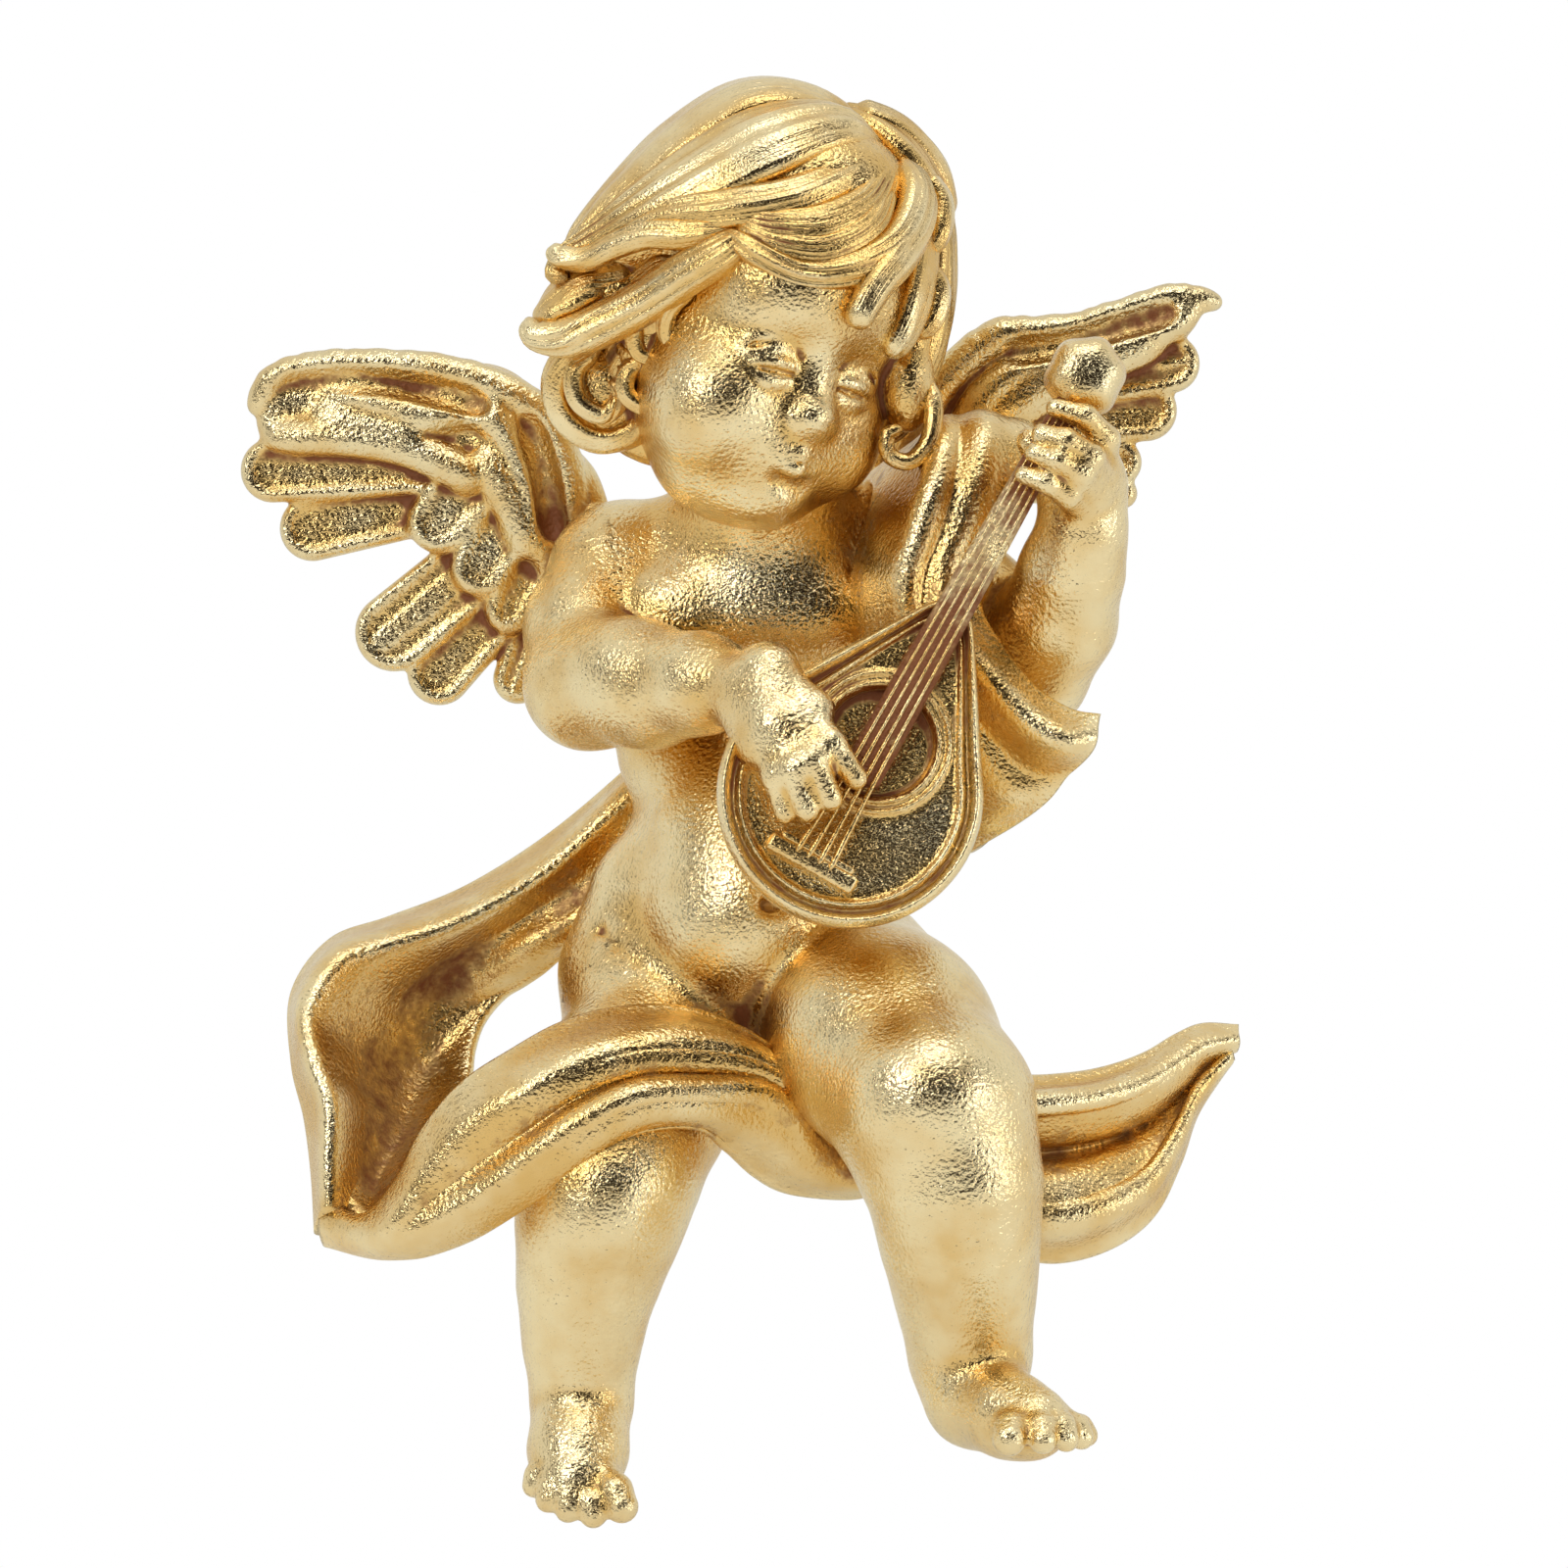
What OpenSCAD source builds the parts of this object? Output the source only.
// Wall-hung putto playing a long-necked lute: gilded resin castings, pinned and glued together.
// Frame: +X to the viewer's right, +Y into the wall, +Z up. The wall is the plane y = 0 and the
// origin is the centre of the round entry of the keyhole in the hanger plate.
// Landmarks are for a figure 200 mm tall and are scaled by figure_height.

/* [Figure] */
// Height from the lowest toe to the top of the hair
figure_height = 200; // [160:1:240]
// Facets round each limb bead
limb_facets = 14; // [12:1:18]
// Facets round fingers, toes and curls
small_facets = 8; // [6:1:10]

/* [Head] */
// Turn of the face towards the viewer's right, degrees
head_yaw = 33; // [20:1:40]
// Nod of the face, degrees
head_pitch = 24; // [10:1:30]
// Lean of the crown towards the viewer's right, degrees
head_roll = 14; // [0:1:20]

/* [Lute] */
// Lean of the lute's long axis from the vertical, degrees
lute_tilt = 29.4; // [25:0.1:33]
// Radius of the round end of the lute body
lute_body_r = 18.2; // [16:0.1:19]
// Lean of the neck back towards the wall, degrees
lute_pitch = 8; // [5:1:10]
// Distance from the centre of the round end to the centre of the pegbox
lute_reach = 66.5; // [63:0.5:68]
// Depth of the bowl behind the soundboard
lute_bowl_depth = 14; // [12:0.5:15]
// Radius of the sound hole
sound_hole_r = 9.4; // [7:0.1:10]
// Radius of one string
string_r = 0.3; // [0.2:0.05:0.4]
// Number of strings
string_count = 4; // [3:1:5]

/* [Cloth and wings] */
// Thickness of the cast drapery
cloth_t = 2; // [1.6:0.1:2.6]
// Thickness of a feather as a share of its half width
feather_flat = 0.36; // [0.3:0.01:0.5]

/* [Hanger and pins] */
// Width of the hanger plate
plate_w = 12; // [11:0.5:14]
// Height of the hanger plate
plate_h = 26; // [25:0.5:30]
// Thickness of the hanger plate
plate_t = 1.2; // [1:0.1:1.6]
// Radius of the keyhole's round entry
keyhole_r = 4; // [3.5:0.1:4.5]
// Half width of the keyhole's slot
slot_r = 1.9; // [1.6:0.1:2.2]
// Radius of the steel pins inside the joints
pin_r = 1; // [0.8:0.1:1.2]
// Glue gap between a pin and its hole
glue_gap = 0.15; // [0.1:0.01:0.2]

/* [Hidden] */

k = figure_height / 200;
gold = "goldenrod";
steel = "silver";

// Trunk: [centre, half sizes] of its masses
chest = [[1.5, -15, 1], [18.5, 20, 14]];
waist = [[1, -18, -22], [16, 18, 15]];
belly = [[0.5, -24, -35], [16, 18.5, 14.5]];
pelvis = [[-2, -17, -50], [21.5, 20, 13.5]];
shoulder_r = [-17, -19, 8, 8.5];
shoulder_l = [22, -19, 10, 9.5];
flank_r = [-10, -17, -14, 9];
flank_l = [12, -17, -14, 9];
neck = [[2, -24, 9, 10], [3.5, -28, 20, 9]];
back_pad = [18, 8, 32];

// Limbs: beads [x, y, z, radius] from the trunk outwards
arm_r = [[-19, -20, 8, 8.4], [-21.5, -25, 0, 8.6], [-21.5, -31, -8.5, 8.4],
         [-12, -41, -8.2, 7.3], [0, -53, -9, 5.4], [4.5, -58, -14, 5]];
arm_l = [[25, -20, 10, 9.5], [33, -26, 2, 8.2], [40, -32, -6.3, 7.2],
         [43.5, -37, 1, 7.6], [45.3, -42, 8, 6.8], [46.3, -45, 13.5, 5.4], [46.6, -46.5, 19, 4.9]];
leg_r = [[-11, -23, -54, 14], [-15.5, -34, -67, 12.6], [-20, -42, -80, 11.2],
         [-21.5, -41, -90, 9.8], [-22, -39, -98, 8], [-22.3, -37, -105, 7.2]];
foot_r = [[-22.3, -37, -106, 7.2], [-22.8, -41, -112.5, 7], [-23.2, -46, -117, 6]];
leg_l = [[13, -25, -51, 14.5], [20, -42, -58, 14.2], [26.5, -56, -67, 12.8],
         [29, -57, -77, 11.2], [30, -55, -85, 10.2], [30.8, -52, -93, 8.8], [31.6, -49, -101, 7.7]];
foot_l = [[28.5, -46, -107, 5.6], [33, -54, -106, 5.8], [39.5, -62, -108, 5]];

// Fingers and toes: short chains of small beads
fingers_r = [[[7, -61, -13, 2], [11, -64, -17, 1.8], [15, -64.5, -21.5, 1.5]],
             [[6.5, -61.5, -16, 2], [9, -65, -19, 1.9], [9.5, -65, -22.5, 1.6]],
             [[4.5, -60.5, -17, 2], [6, -64, -20.5, 1.8], [6, -64.5, -23.5, 1.5]],
             [[2.5, -58.5, -17, 1.9], [3.5, -62, -21, 1.7], [4, -63.5, -24.5, 1.4]],
             [[5, -58, -10.5, 2], [9.5, -60.5, -13, 1.8], [12.5, -63, -16.5, 1.5]]];
fingers_l = [[[49.5, -48, 20, 2], [50, -53, 23.5, 1.8], [47.8, -54, 27, 1.6]],
             [[49, -50, 19, 2], [46.5, -56.5, 22.5, 1.9], [41.5, -57, 26.2, 1.6]],
             [[47.9, -50, 17, 2], [45.3, -57, 20.2, 1.9], [40, -57.5, 23.4, 1.6]],
             [[46.4, -49, 14.4, 1.9], [43.6, -55.6, 16.7, 1.7], [38.4, -56.8, 19.4, 1.5]]];
toes_r = [[-16.8, -51.5, -120, 2.7], [-20.8, -51.5, -121.5, 2.1], [-24.3, -50.5, -121, 2],
          [-27.4, -49, -119.2, 1.9], [-29.8, -46.5, -116.5, 1.8]];
toes_l = [[36, -69, -109.8, 2.7], [40, -68.5, -110.2, 2.1], [43, -66.5, -110.2, 2],
          [45.2, -63.5, -110, 1.9], [46, -60, -109.6, 1.8]];

// Head, in its own frame: x to the figure's left, y to the back, z up
head_at = [3.5, -34, 41];
skull = [[0, 5, 8], [19, 20, 19]];
face = [[0, -2, -3.5], [16, 16.5, 17.5]];
hair_cap = [[0, 7, 9], [20.6, 20, 20.5]];
// Locks of hair in the figure's frame
locks = [[[18, -30, 66, 8], [3, -34, 68, 7.5], [-7, -37, 62, 7], [-13, -37, 54, 6]],
         [[22, -38, 62, 5], [8, -47, 66, 8], [-6, -48, 60, 8], [-16, -46, 52, 6], [-24, -43, 45, 3.5], [-28, -42, 41, 2]],
         [[20, -46, 58, 4], [10, -52, 54, 5], [-4, -52, 52, 4], [-14, -49, 51, 3], [-23, -44, 50, 2]],
         [[22, -46, 60, 4], [23, -49, 50, 3.5], [21, -50, 40, 2.5]],
         [[-14, -38, 44, 6], [-20, -34, 36, 5.5], [-16, -32, 28, 5], [-10, -34, 26, 4]],
         [[26, -24, 56, 4], [26, -26, 46, 4.5], [24, -28, 36, 4.5], [21, -34, 26, 3.5]]];

// Wings: leading edge beads, then feathers [root, tip, root radius, tip radius]
wing_r_edge = [[-18, -9, 8, 5], [-23.5, -10, 18, 4.5], [-27, -11, 28, 4.5], [-36, -12, 34, 4],
               [-48, -12, 37, 3.4], [-60, -11, 37, 3], [-68, -10, 33.5, 2.8]];
wing_r_feathers = [[[-34, -11, 28], [-67, -10, 30.5], 6, 4.2], [[-34, -10, 22], [-67.5, -9, 23.2], 6, 4.4],
                   [[-33, -9.5, 17], [-60.5, -8.5, 14], 5.5, 4.6], [[-31, -9, 12], [-51, -8, 0.5], 5, 5.2],
                   [[-28, -8.5, 8], [-44, -7.5, -6.5], 4.5, 4.6], [[-26, -8, 6], [-33.5, -7, -7], 4, 3.8],
                   [[-27, -12, 19], [-43, -12.5, 13.5], 5, 3.6], [[-25, -11.5, 14], [-36, -12, 6.5], 5, 3.4]];
wing_l_edge = [[17, -9, 10, 5], [24, -9.5, 27, 4.5], [31, -10, 36.5, 4], [40, -10.5, 42, 3.4],
               [49, -10, 43, 3], [57, -9, 46.5, 2.4], [66.5, -8, 46.3, 2]];
wing_l_feathers = [[[34, -9.5, 36], [64.5, -8, 45], 4.5, 3], [[34, -9, 32], [59.5, -7.5, 38], 5, 3.8],
                   [[33, -8.5, 28], [56, -7, 30.5], 5, 4.2], [[31, -8, 23], [52.5, -6.5, 21], 4.5, 3.2],
                   [[28, -7.5, 18], [44, -6.5, 14], 4.5, 3.4], [[30, -12, 32], [46, -12, 34], 4.5, 3.4]];

// Drapery: stations across the cloth, each [one edge, the other edge]
swag = [[[-12, -8, -20], [-18, -9, -38]], [[-28, -9, -33], [-28, -12, -45]], [[-40.5, -9, -40.5], [-38, -14, -55]],
        [[-51.5, -11, -43], [-42, -19, -63]], [[-59.5, -16, -47], [-45, -24, -70]], [[-62.5, -25, -54], [-50, -31, -77]],
        [[-61, -36, -62], [-54, -38, -82]], [[-52, -44, -73], [-52.5, -44, -85]], [[-42.5, -49, -65], [-43, -47, -85]],
        [[-33.5, -52, -59], [-34.5, -51, -82]], [[-24, -51, -55.5], [-25.5, -56, -75]], [[-14.5, -47, -54], [-16, -54, -69]],
        [[-5.5, -44, -55.5], [-6, -50, -67]], [[3, -44, -59.5], [-2, -45, -73]], [[8, -43, -65], [6, -42, -77]],
        [[13, -38, -69], [17, -37, -77]]];
tail = [[[17, -30, -66], [18, -31, -76]], [[30, -32, -64], [30, -34, -84]], [[38, -32, -63.5], [39, -35, -88]],
        [[46.5, -29, -62.5], [47.5, -32, -87]], [[55, -25, -61], [55.5, -28, -83]], [[62, -21, -58], [61, -24, -75.5]],
        [[66, -19, -57], [65.5, -20, -65]], [[69, -18, -57.2], [69, -18, -59.5]]];
scarf = [[[17, -13, 22], [34, -14, 24]], [[18, -21, 28.5], [36, -22, 30]], [[19, -30, 27], [37.5, -32, 29.5]], [[17, -36, 19], [38.5, -37, 19]], [[16, -36.5, 8], [36, -40, 8]],
         [[22, -35, -2], [35, -42, 0]], [[27, -33, -11], [37.5, -44, -8]], [[30, -33, -20.5], [46, -45, -14]],
         [[30.5, -33, -31], [48, -43, -17]]];

// Lute
lute_at = [14.4, -57, -23.4];
lute_tip = 37;
lute_rim = 1.4;
pegbox_r = 5.2;
neck_w = 5.2;
bridge_y = -11;
string_top = 62.5;

// Pins: [start, end]
pin_neck = [[2.5, -25, 12], [4.5, -31, 34]];
pins_arm = [[[-10, -20, 6], [-24, -24, 3]], [[14, -19, 6], [32, -25, 1]]];
pins_leg = [[[-6, -18, -48], [-14, -30, -63]], [[5, -18, -47], [17, -36, -55]]];
pins_wing = [[[-10, -9, 8], [-24, -10, 17]], [[-10, -9, 3], [-27, -9, 10.5]],
             [[10, -9, 11], [24, -9.5, 26]], [[12, -9, 6], [29.5, -8, 20]]];
pin_lute = [[10, -24, -16], [12, -48, -20]];

// ---- building shapes ----

module bead(b, f) {
    translate([b[0], b[1], b[2]]) sphere(b[3], $fn = f);
}

module chain(beads, f) {
    for (i = [0:len(beads) - 2])
        hull() {
            bead(beads[i], f);
            bead(beads[i + 1], f);
        }
}

module mass(m, f) {
    translate(m[0]) scale(m[1]) sphere(1, $fn = f);
}

module rod(ends, r) {
    v = ends[1] - ends[0];
    translate(ends[0])
        rotate([0, acos(v[2] / norm(v)), atan2(v[1], v[0])])
            cylinder(h = norm(v), r = r, $fn = 24);
}

module flat_bead(p, r) {
    translate(p) scale([1, feather_flat, 1]) sphere(r, $fn = 12);
}

module feather(f) {
    hull() {
        flat_bead(f[0], f[2]);
        flat_bead(f[1], f[3]);
    }
}

// A strip of cast cloth: neighbouring stations joined by hulls of small beads
module cloth(stations) {
    for (i = [0:len(stations) - 2])
        hull()
            for (p = concat(stations[i], stations[i + 1]))
                translate(p) sphere(cloth_t / 2, $fn = 6);
}

module in_front_of_wall() {
    intersection() {
        children();
        translate([-150, -200, -200]) cube([300, 200, 400]);
    }
}

module head_frame() {
    translate(head_at) rotate([0, 0, head_yaw]) rotate([head_pitch, 0, 0]) rotate([0, head_roll, 0]) children();
}

module lute_frame() {
    translate(lute_at) rotate([0, lute_tilt, 0]) rotate([-lute_pitch, 0, 0]) children();
}

// ---- forms, before their neighbours are cut away ----

module trunk_form() {
    hull() { mass(chest, 20); mass(waist, 20); }
    hull() { mass(waist, 20); mass(pelvis, 20); }
    mass(belly, 20);
    hull() { bead(shoulder_r, limb_facets); mass(chest, 20); }
    hull() { bead(shoulder_l, limb_facets); mass(chest, 20); }
    hull() { bead(shoulder_r, limb_facets); bead(flank_r, limb_facets); }
    hull() { bead(shoulder_l, limb_facets); bead(flank_l, limb_facets); }
    hull() { bead(shoulder_r, limb_facets); bead(neck[0], limb_facets); }
    hull() { bead(shoulder_l, limb_facets); bead(neck[0], limb_facets); }
    chain(neck, limb_facets);
    translate([0, -back_pad[1] / 2, 2]) cube(back_pad, center = true);
}

module head_form() {
    head_frame() {
        hull() { mass(skull, 20); mass(face, 20); }
        mass(hair_cap, 20);
        translate([0, -17.5, -3]) scale([1.6, 2, 2]) sphere(1, $fn = small_facets);
    }
    for (l = locks) chain(l, 10);
}

module right_arm_form() {
    chain(arm_r, limb_facets);
    for (f = fingers_r) chain(f, small_facets);
}

module left_arm_form() {
    chain(arm_l, limb_facets);
    for (f = fingers_l) chain(f, small_facets);
}

module right_leg_form() {
    chain(leg_r, limb_facets);
    chain(foot_r, limb_facets);
    for (t = toes_r) hull() { bead(foot_r[2], small_facets); bead(t, small_facets); }
}

module left_leg_form() {
    chain(leg_l, limb_facets);
    hull() { bead(leg_l[6], limb_facets); bead(foot_l[0], limb_facets); }
    hull() { bead(leg_l[6], limb_facets); bead(foot_l[1], limb_facets); }
    chain(foot_l, limb_facets);
    for (t = toes_l) hull() { bead(foot_l[2], small_facets); bead(t, small_facets); }
}

module right_wing_form() {
    chain(wing_r_edge, 10);
    for (f = wing_r_feathers) feather(f);
}

module left_wing_form() {
    chain(wing_l_edge, 10);
    for (f = wing_l_feathers) feather(f);
}

// Outline of the lute's body: the round end and the straight shoulders that meet at the neck
module lute_outline(r) {
    hull() {
        circle(r, $fn = 40);
        translate([0, lute_tip - 8]) circle(3 * r / lute_body_r, $fn = 16);
    }
}

module lute_body_form() {
    lute_frame() rotate([90, 0, 0]) {
        linear_extrude(height = 2) lute_outline(lute_body_r);
        hull()
            for (i = [0:3])
                translate([0, 0, -lute_bowl_depth * i / 3])
                    linear_extrude(height = 0.1) lute_outline(lute_body_r * sqrt(1.04 - pow(i / 3, 2)));
    }
}

module lute_neck_form() {
    lute_frame() {
        translate([-neck_w / 2, -3.3, 3]) cube([neck_w, 1.5, lute_tip - 8]);
        hull() {
            translate([-neck_w / 2, -3.3, lute_tip - 6]) cube([neck_w, 4, 1]);
            translate([-neck_w * 0.36, -3.3, string_top - 1]) cube([neck_w * 0.72, 3.4, 1]);
        }
        translate([0, -2, lute_reach]) rotate([90, 0, 0])
            cylinder(h = 7, r = pegbox_r, center = true, $fn = 40);
    }
}

// ---- castings ----

module torso() {
    color(gold) difference() {
        in_front_of_wall() trunk_form();
        rod(pin_neck, pin_r + glue_gap);
        for (p = concat(pins_arm, pins_leg, pins_wing)) rod(p, pin_r + glue_gap);
        rod(pin_lute, pin_r + glue_gap);
        hanger_recess();
    }
}

module head() {
    color(gold) difference() {
        head_form();
        trunk_form();
        rod(pin_neck, pin_r + glue_gap);
    }
}

module right_arm() {
    color(gold) difference() {
        right_arm_form();
        trunk_form();
        lute_body_form();
        lute_neck_form();
        lute_strings_form();
        rod(pins_arm[0], pin_r + glue_gap);
    }
}

module left_arm() {
    color(gold) difference() {
        left_arm_form();
        trunk_form();
        lute_body_form();
        lute_neck_form();
        rod(pins_arm[1], pin_r + glue_gap);
    }
}

module right_leg() {
    color(gold) difference() {
        right_leg_form();
        trunk_form();
        rod(pins_leg[0], pin_r + glue_gap);
    }
}

module left_leg() {
    color(gold) difference() {
        left_leg_form();
        trunk_form();
        right_leg_form();
        rod(pins_leg[1], pin_r + glue_gap);
    }
}

module right_wing() {
    color(gold) difference() {
        in_front_of_wall() right_wing_form();
        trunk_form();
        right_arm_form();
        head_form();
        for (p = pins_wing) rod(p, pin_r + glue_gap);
    }
}

module left_wing() {
    color(gold) difference() {
        in_front_of_wall() left_wing_form();
        trunk_form();
        left_arm_form();
        head_form();
        for (p = pins_wing) rod(p, pin_r + glue_gap);
    }
}

module drape_swag() {
    color(gold) difference() {
        cloth(swag);
        trunk_form();
        right_leg_form();
        left_leg_form();
    }
}

module drape_tail() {
    color(gold) difference() {
        cloth(tail);
        trunk_form();
        left_leg_form();
        right_leg_form();
        cloth(swag);
    }
}

module drape_scarf() {
    color(gold) difference() {
        cloth(scarf);
        trunk_form();
        left_arm_form();
        head_form();
        lute_body_form();
        lute_neck_form();
        left_wing_form();
    }
}

// ---- lute ----

module lute_body() {
    color(gold) difference() {
        lute_body_form();
        lute_frame() translate([0, -1, 8.2]) rotate([90, 0, 0])
            cylinder(h = 4, r = sound_hole_r, $fn = 40);
        lute_neck_form();
        rod(pin_lute, pin_r + glue_gap);
    }
}

module lute_neck() {
    color(gold) lute_neck_form();
}

module lute_bridge() {
    color(gold) lute_frame() translate([-6.5, -3.4, bridge_y - 1.2]) cube([13, 1.4, 2.4]);
}

module lute_strings_form() {
    lute_frame()
        for (i = [0:string_count - 1]) {
            x = (i - (string_count - 1) / 2);
            rod([[x * 2, -3.45 - string_r, bridge_y + 0.4], [x * 0.9, -3.45 - string_r, string_top - 2]], string_r);
        }
}

module lute_strings() {
    color(gold) lute_strings_form();
}

// ---- hanger ----

module plate_outline() {
    translate([-plate_w / 2, -11]) square([plate_w, plate_h]);
}

module screw_at(z) {
    translate([0, 0, z]) rotate([90, 0, 0]) {
        cylinder(h = 7, r = 1, $fn = 24);
        cylinder(h = 1, r1 = 2, r2 = 1, $fn = 24);
    }
}

module hanger_recess() {
    rotate([90, 0, 0]) linear_extrude(height = plate_t) offset(delta = 0.1) plate_outline();
    rotate([90, 0, 0]) cylinder(h = 6, r = keyhole_r + 0.6, $fn = 30);
    translate([-keyhole_r, -6, 0]) cube([2 * keyhole_r, 5.5, 8]);
    for (z = [12, -8]) translate([0, 0, z]) rotate([90, 0, 0]) cylinder(h = 7.4, r = 1.1, $fn = 24);
}

module hanger_plate() {
    color(steel) difference() {
        rotate([90, 0, 0]) linear_extrude(height = plate_t) plate_outline();
        rotate([90, 0, 0]) translate([0, 0, -1]) cylinder(h = plate_t + 2, r = keyhole_r, $fn = 48);
        translate([-slot_r, -plate_t - 1, 0]) cube([2 * slot_r, plate_t + 2, 7]);
        for (z = [12, -8])
            translate([0, 0, z]) rotate([90, 0, 0]) {
                translate([0, 0, -0.001]) cylinder(h = 1.05, r1 = 2.1, r2 = 1.05, $fn = 24);
                cylinder(h = 3, r = 1.05, $fn = 24);
            }
    }
}

module hanger_screws() {
    color(steel) for (z = [12, -8]) screw_at(z);
}

// ---- pins ----

module neck_pin() { color(steel) rod(pin_neck, pin_r); }
module arm_pins() { color(steel) for (p = pins_arm) rod(p, pin_r); }
module leg_pins() { color(steel) for (p = pins_leg) rod(p, pin_r); }
module wing_pins() { color(steel) for (p = pins_wing) rod(p, pin_r); }
module lute_pin() { color(steel) rod(pin_lute, pin_r); }

scale(k) {
    torso();
    head();
    right_arm();
    left_arm();
    right_leg();
    left_leg();
    right_wing();
    left_wing();
    drape_swag();
    drape_tail();
    drape_scarf();
    lute_body();
    lute_neck();
    lute_bridge();
    lute_strings();
    hanger_plate();
    hanger_screws();
    neck_pin();
    arm_pins();
    leg_pins();
    wing_pins();
    lute_pin();
}
